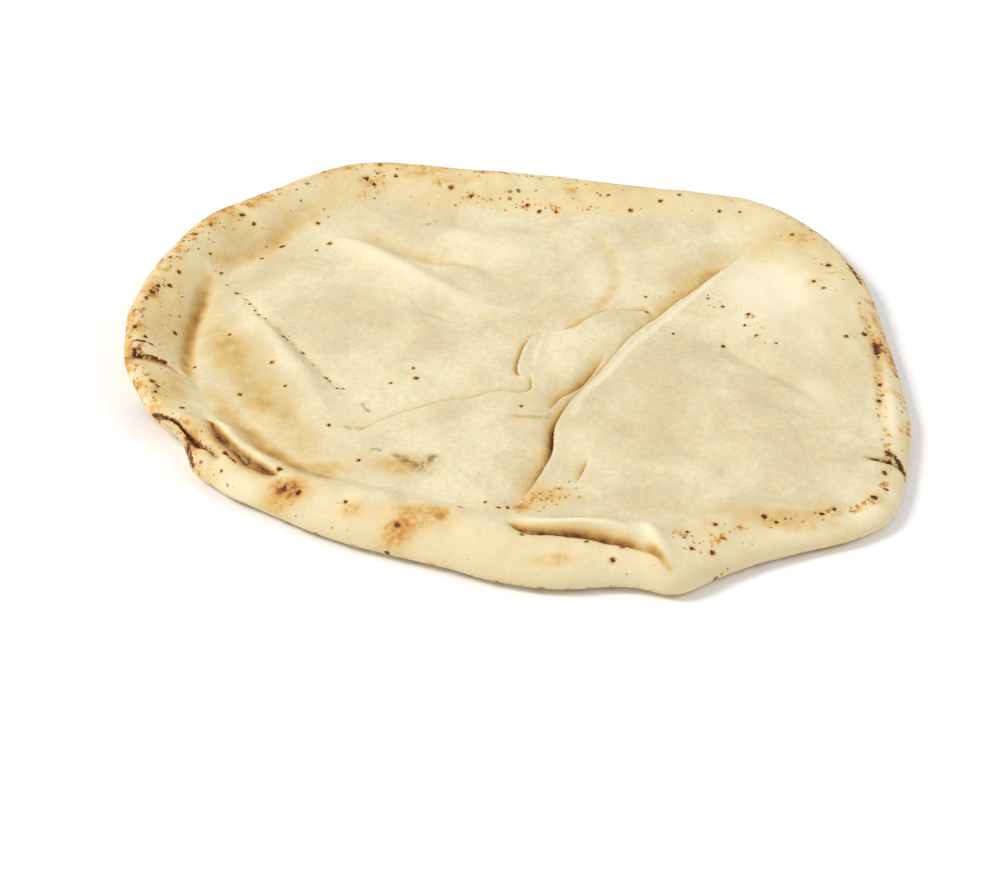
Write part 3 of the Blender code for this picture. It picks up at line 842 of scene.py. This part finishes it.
# %% Node helpers
def node(tree, kind, inputs=None, **settings):
    """Adds a shader node. Inputs may be values, or the output sockets of other nodes."""
    made = tree.nodes.new("ShaderNode" + kind)
    for name, value in settings.items():
        setattr(made, name, value)
    for name, value in (inputs or {}).items():
        if isinstance(value, bpy.types.NodeSocket):
            tree.links.new(value, made.inputs[name])
        else:
            made.inputs[name].default_value = value
    return made


def math_node(tree, operation, first, second=0.0, clamp=False):
    """One sum on two numbers. Returns its output."""
    inputs = {0: first, 1: second}
    return node(tree, "Math", inputs, operation=operation, use_clamp=clamp).outputs[0]


def times(tree, first, second, clamp=False):
    """One value multiplied by another."""
    return math_node(tree, "MULTIPLY", first, second, clamp)


def largest(tree, first, *others):
    """The largest of several values, so that marks lie over each other and don't add up."""
    for other in others:
        first = math_node(tree, "MAXIMUM", first, other)
    return first


def blend(tree, share, first, second):
    """Mixes two colours. Returns the mixed one."""
    return node(tree, "Mix", {0: share, 6: first, 7: second}, data_type="RGBA").outputs[2]


def ramp(tree, share, stops):
    """Turns a share into a colour, by way of (share, colour) stops that run from 0 to 1."""
    made = node(tree, "ValToRGB", {0: share})
    elements = made.color_ramp.elements
    elements[0].color = stops[0][1]
    elements[1].color = stops[-1][1]
    for place, colour in stops[1:-1]:
        elements.new(place).color = colour
    return made.outputs[0]


def spread(tree, value, low, high, new_low=0.0, new_high=1.0):
    """Stretches a range of values onto another one, and holds the ends."""
    inputs = {0: value, 1: low, 2: high, 3: new_low, 4: new_high}
    return node(tree, "MapRange", inputs, interpolation_type="SMOOTHSTEP").outputs[0]


def noise(tree, scale, detail=3.0, roughness=0.5, warp=0.0):
    """Soft noise fixed to the object. Its features are about 1 / scale metres long."""
    inputs = {"Scale": scale, "Detail": detail, "Roughness": roughness, "Distortion": warp}
    inputs["Vector"] = node(tree, "TexCoord").outputs["Object"]
    return node(tree, "TexNoise", inputs).outputs[0]


def clumps(tree, grain, *levels):
    """Noise with more contrast: grain is what noise() takes, and levels what spread() takes."""
    return spread(tree, noise(tree, *grain), *levels)


def painted(tree, name):
    """A value painted onto the points of the mesh."""
    return node(tree, "Attribute", attribute_name=name).outputs["Fac"]


def group(name, inputs, outputs):
    """An empty node group with named sockets. Returns the group, its input and its output."""
    made = bpy.data.node_groups.new(name, "ShaderNodeTree")
    for title, kind, value in inputs:
        socket = made.interface.new_socket(title, in_out="INPUT", socket_type="NodeSocket" + kind)
        socket.default_value = value
    for title, kind in outputs:
        made.interface.new_socket(title, in_out="OUTPUT", socket_type="NodeSocket" + kind)
    group_in, group_out = made.nodes.new("NodeGroupInput"), made.nodes.new("NodeGroupOutput")
    return made, group_in.outputs, group_out.inputs


def use(tree, made, inputs=None):
    """Places a node group in a material and connects its inputs. Returns its outputs."""
    return node(tree, "Group", inputs, node_tree=made).outputs


# %% [markdown]
# ## The effects
#
# Pale baked dough is not one colour. Flour, moisture and the thickness of the skin make clouds
# of cream, sand and straw. On top come toasted places, which go from gold through orange to
# dark brown with a freckled edge, and burnt blisters, which are small dark dots.

# %% Dough clouds
dough, dough_in, dough_out = group(
    "dough clouds",
    [("Pale", "Color", (0.80, 0.71, 0.475, 1)), ("Sand", "Color", (0.68, 0.56, 0.35, 1)),
     ("Straw", "Color", (0.77, 0.62, 0.32, 1))],
    [("Color", "Color"), ("Cloud", "Float")],
)
broad = noise(dough, 32, 4.0, 0.6, 0.4)
clouded = blend(dough, spread(dough, broad, 0.36, 0.66), dough_in["Pale"], dough_in["Sand"])
straw = clumps(dough, (110, 3.0, 0.55), 0.48, 0.78, 0.0, 0.55)
clouded = blend(dough, straw, clouded, dough_in["Straw"])
grain_value = clumps(dough, (620, 3.0, 0.6), 0.25, 0.75, 0.93, 1.05)
grained = node(dough, "HueSaturation", {"Value": grain_value, "Color": clouded}).outputs[0]
dough.links.new(grained, dough_out["Color"])
dough.links.new(broad, dough_out["Cloud"])

# %% Toast
TOAST_STOPS = (
    (0, (0.78, 0.62, 0.32, 1)), (0.25, (0.73, 0.49, 0.18, 1)), (0.5, (0.62, 0.30, 0.075, 1)),
    (0.75, (0.31, 0.095, 0.024, 1)), (1, (0.10, 0.022, 0.010, 1)),
)
toasting, toasting_in, toasting_out = group(
    "toast",
    [("Color", "Color", (0.7, 0.6, 0.4, 1)), ("Amount", "Float", 0.0)],
    [("Color", "Color"), ("Mask", "Float")],
)
blotch = clumps(toasting, (150, 3.0, 0.6, 0.5), 0.3, 0.7, 0.72, 1.22)
freckle = clumps(toasting, (560, 2.0, 0.5), 0.35, 0.68, -0.18, 0.26)
uneven = math_node(toasting, "ADD", blotch, freckle)
amount = times(toasting, toasting_in["Amount"], uneven, clamp=True)
mask = spread(toasting, amount, 0.0, 0.42)
browned_and_shaded = blend(toasting, mask, toasting_in["Color"], ramp(toasting, amount, TOAST_STOPS))
toasting.links.new(browned_and_shaded, toasting_out["Color"])
toasting.links.new(amount, toasting_out["Mask"])

# %% Burnt dots
dotting, dotting_in, dotting_out = group(
    "burnt dots",
    [("Density", "Float", 0.1), ("Scale", "Float", 330.0), ("Size", "Float", 0.5)],
    [("Mask", "Float")],
)
object_place = node(dotting, "TexCoord").outputs["Object"]
shake_inputs = {"Vector": object_place, "Scale": 900.0, "Detail": 1.0}
shake = node(dotting, "TexNoise", shake_inputs).outputs[1]
shaken_inputs = {0: shake, 1: (0.0012, 0.0012, 0.0012), 2: object_place}
shaken = node(dotting, "VectorMath", shaken_inputs, operation="MULTIPLY_ADD").outputs[0]
cells = node(dotting, "TexVoronoi", {"Vector": shaken, "Scale": dotting_in["Scale"]})
chance = node(dotting, "SeparateColor", {0: cells.outputs["Color"]}).outputs
missing = math_node(dotting, "SUBTRACT", 1.0, dotting_in["Density"])
present = spread(dotting, math_node(dotting, "SUBTRACT", chance[0], missing), 0.0, 0.05)
dot_size = times(dotting, dotting_in["Size"], spread(dotting, chance[1], 0.0, 1.0, 0.35, 1.0))
width = times(dotting, present, dot_size)
dot = math_node(dotting, "SUBTRACT", width, cells.outputs["Distance"])
dotting.links.new(times(dotting, dot, 9.0, clamp=True), dotting_out["Mask"])

# %% Skin grain
WRINKLE_HEIGHT = 0.00042
PORE_HEIGHT = 0.00009
skin, _, skin_out = group("skin grain", [], [("Height", "Float")])
wrinkles = times(skin, noise(skin, 240, 3.0, 0.55, 0.6), WRINKLE_HEIGHT)
pores = times(skin, noise(skin, 1100, 2.0, 0.5), PORE_HEIGHT)
skin.links.new(math_node(skin, "ADD", wrinkles, pores), skin_out["Height"])

# %% [markdown]
# ## The crust
#
# The crust puts the effects together in this order: raw clouds of dough, the yellow of the
# rim, painted highlights where ridges and lips face the light, painted shade in the creases
# and valleys, the toast, and last the burnt dots and the dark lines of burnt seams and of
# painted shadow in slots and creases.
# The underside has large toasted patches, because it lay on the hot stone. Dry crust is rough;
# only the burnt blisters shine a little.

# %% Crust colours
RIM_YELLOW = (0.80, 0.655, 0.37, 1)
HIGHLIGHT_CREAM = (0.91, 0.82, 0.58, 1)
# Golden crust and painted shade, from light gold to a near black painted shadow at the bottom of slots.
GOLD_AND_SHADE_STOPS = (
    (0, (0.74, 0.60, 0.30, 1)), (0.45, (0.65, 0.44, 0.15, 1)), (0.78, (0.45, 0.22, 0.055, 1)),
    (1, (0.11, 0.036, 0.014, 1)),
)
DOT_BROWN = (0.40, 0.19, 0.065, 1)
DOT_DARK = (0.13, 0.045, 0.018, 1)
SMUDGE_BROWN = (0.25, 0.155, 0.040, 1)
# Burnt brown, also the colour of the painted shadow lines in slots and creases.
BURNT_AND_SHADOW_BROWN = (0.075, 0.025, 0.010, 1)

crust = bpy.data.materials.new("crust")
crust.use_nodes = True
tree = crust.node_tree
shader = tree.nodes["Principled BSDF"]

clouds = use(tree, dough)
rim_tint = times(tree, painted(tree, "rim"), spread(tree, clouds["Cloud"], 0.3, 0.7, 0.45, 0.85))
colour = blend(tree, rim_tint, clouds["Color"], RIM_YELLOW)
# Painted highlight: lighter cream where ridges and lips face the light.
colour = blend(tree, times(tree, painted(tree, "painted_highlight"), 0.90), colour, HIGHLIGHT_CREAM)
# Painted shade in creases, slots and valleys, with some golden crust, mixed over the dough.
gold_and_shade_grain = clumps(tree, (180, 3.0, 0.6), 0.25, 0.75, 0.65, 1.05)
gold_and_shade_share = times(tree, painted(tree, "gold_and_shade"), gold_and_shade_grain, clamp=True)
gold_and_shade_colour = ramp(tree, gold_and_shade_share, GOLD_AND_SHADE_STOPS)
colour = blend(tree, spread(tree, gold_and_shade_share, 0.0, 0.55), colour, gold_and_shade_colour)

# %% Burnt marks and painted crease shadow lines
# Each noise is as fine as the marks it breaks up.
density = painted(tree, "speckle")
large_inputs = {"Density": times(tree, density, 0.7), "Scale": 330.0, "Size": 0.36}
large_dots = use(tree, dotting, large_inputs)["Mask"]
small_dots = use(tree, dotting, {"Density": density, "Scale": 640.0, "Size": 0.42})["Mask"]
dots = largest(tree, large_dots, times(tree, small_dots, 0.8))
blister = node(tree, "Attribute", attribute_name="blister").outputs["Vector"]
blister_length = node(tree, "VectorMath", {0: blister}, operation="LENGTH").outputs["Value"]
ragged = clumps(tree, (1300, 1.0), 0.2, 0.8, -0.4, 0.4)
blister_shape = math_node(tree, "ADD", blister_length, ragged)
guard = spread(tree, painted(tree, "blister_away"), 2.2, 3.2, 1.0, 0.0)
blister_dot = times(tree, spread(tree, blister_shape, 0.55, 1.05, 1.0, 0.0), guard)
blister_glow = times(tree, spread(tree, blister_length, 0.8, 2.6, 0.34, 0.0), guard)
broken = clumps(tree, (620, 2.0, 0.6), 0.36, 0.58, 0.45, 1.0)
# Char lines: burnt seams, and painted shadow as dark lines in slots and crease bottoms.
lines = times(tree, painted(tree, "char_and_crease_shadow"), broken)
line_glow = spread(tree, lines, 0.05, 0.60, 0.0, 0.75)
# Burnt blisters and char lines together, so this also carries the painted crease shadow.
burnt = largest(tree, blister_dot, spread(tree, lines, 0.22, 0.70))

# %% Toasted places
base_patches = clumps(tree, (42, 2.0, 0.5, 0.3), 0.50, 0.72, 0.03, 0.85)
rim_patches = clumps(tree, (75, 3.0, 0.6, 0.5), 0.52, 0.80, 0.0, 0.40)
edge_patches = clumps(tree, (95, 3.0, 0.6, 0.4), 0.36, 0.66, 0.08, 0.62)
freckles = clumps(tree, (230, 3.0, 0.65), 0.46, 0.74, 0.0, 0.75)
heat = largest(
    tree,
    painted(tree, "toast"),
    times(tree, painted(tree, "base"), base_patches),
    times(tree, painted(tree, "rim"), rim_patches),
    times(tree, painted(tree, "edge_toast"), edge_patches),
    times(tree, freckles, spread(tree, density, 0.05, 0.45)),
    line_glow,
    blister_glow,
)
toasted = use(tree, toasting, {"Color": colour, "Amount": heat})

# %% Crust shader
smudge = times(tree, painted(tree, "smudge"), clumps(tree, (520, 2.0), 0.35, 0.60))
dot_colour = blend(tree, clumps(tree, (130, 2.0, 0.6), 0.42, 0.70), DOT_BROWN, DOT_DARK)
colour = blend(tree, smudge, toasted["Color"], SMUDGE_BROWN)
colour = blend(tree, dots, colour, dot_colour)
# Burnt blisters and char lines, with the painted shadow lines in slots and creases.
colour = blend(tree, burnt, colour, BURNT_AND_SHADOW_BROWN)
tree.links.new(colour, shader.inputs["Base Color"])

BURNT_SHINE = 0.22
dry = clumps(tree, (260, 3.0, 0.5), 0.3, 0.7, 0.72, 0.86)
roughness = math_node(tree, "SUBTRACT", dry, times(tree, burnt, BURNT_SHINE))
tree.links.new(roughness, shader.inputs["Roughness"])
shader.inputs["Specular IOR Level"].default_value = 0.35

BLISTER_HEIGHT = 0.00006
TOAST_DEPTH = 0.00006
lifted = times(tree, burnt, BLISTER_HEIGHT)
height = math_node(tree, "ADD", use(tree, skin)["Height"], lifted)
height = math_node(tree, "SUBTRACT", height, times(tree, toasted["Mask"], TOAST_DEPTH))
bump = node(tree, "Bump", {"Height": height, "Strength": 1.0, "Distance": 1.0})
tree.links.new(bump.outputs[0], shader.inputs["Normal"])
bread_mesh.materials.append(crust)
print("crust:", len(tree.nodes), "nodes")

# %% [markdown]
# ## Studio
#
# A white floor and one large soft light from the left, like a window, with a weaker one across
# from it as a reflector, over an even white surrounding. The floor is nearly
# white, so that it prints as white paper does.

# %% Floor
bpy.ops.mesh.primitive_plane_add(size=8)
floor = bpy.context.object
floor.name = "floor"
paper = bpy.data.materials.new("floor white")
paper.use_nodes = True
sheet = paper.node_tree
paper_shader = sheet.nodes["Principled BSDF"]
paper_tone = clumps(sheet, (6, 2.0), 0.2, 0.8, 0.0, 1.0)
paper_colour = blend(sheet, paper_tone, (0.94, 0.94, 0.94, 1), (0.955, 0.955, 0.955, 1))
sheet.links.new(paper_colour, paper_shader.inputs["Base Color"])
paper_rough = clumps(sheet, (40, 2.0), 0.2, 0.8, 0.75, 0.85)
sheet.links.new(paper_rough, paper_shader.inputs["Roughness"])
bump_inputs = {"Height": noise(sheet, 900, 2.0), "Strength": 0.1, "Distance": 0.00005}
paper_bump = node(sheet, "Bump", bump_inputs)
sheet.links.new(paper_bump.outputs[0], paper_shader.inputs["Normal"])
floor.data.materials.append(paper)

# %% Light
WORLD_STRENGTH = 0.58
# Each lamp: its place, its size and its power in watts.
LAMPS = {
    "window light": ((-2.05, -0.10, 2.00), 0.90, 50),
    "reflector": ((2.00, -0.60, 1.90), 1.20, 17),
}

bpy.context.scene.view_settings.view_transform = "Standard"
world = bpy.data.worlds.new("studio")
world.use_nodes = True
world.node_tree.nodes["Background"].inputs["Color"].default_value = (1, 1, 1, 1)
world.node_tree.nodes["Background"].inputs["Strength"].default_value = WORLD_STRENGTH
bpy.context.scene.world = world

for name, (place, size, power) in LAMPS.items():
    lamp = bpy.data.lights.new(name, "AREA")
    lamp.size = size
    lamp.energy = power
    box = bpy.data.objects.new(name, lamp)
    box.location = place
    box.rotation_euler = (Vector(place) - middle).to_track_quat("Z", "Y").to_euler()
    bpy.context.scene.collection.objects.link(box)
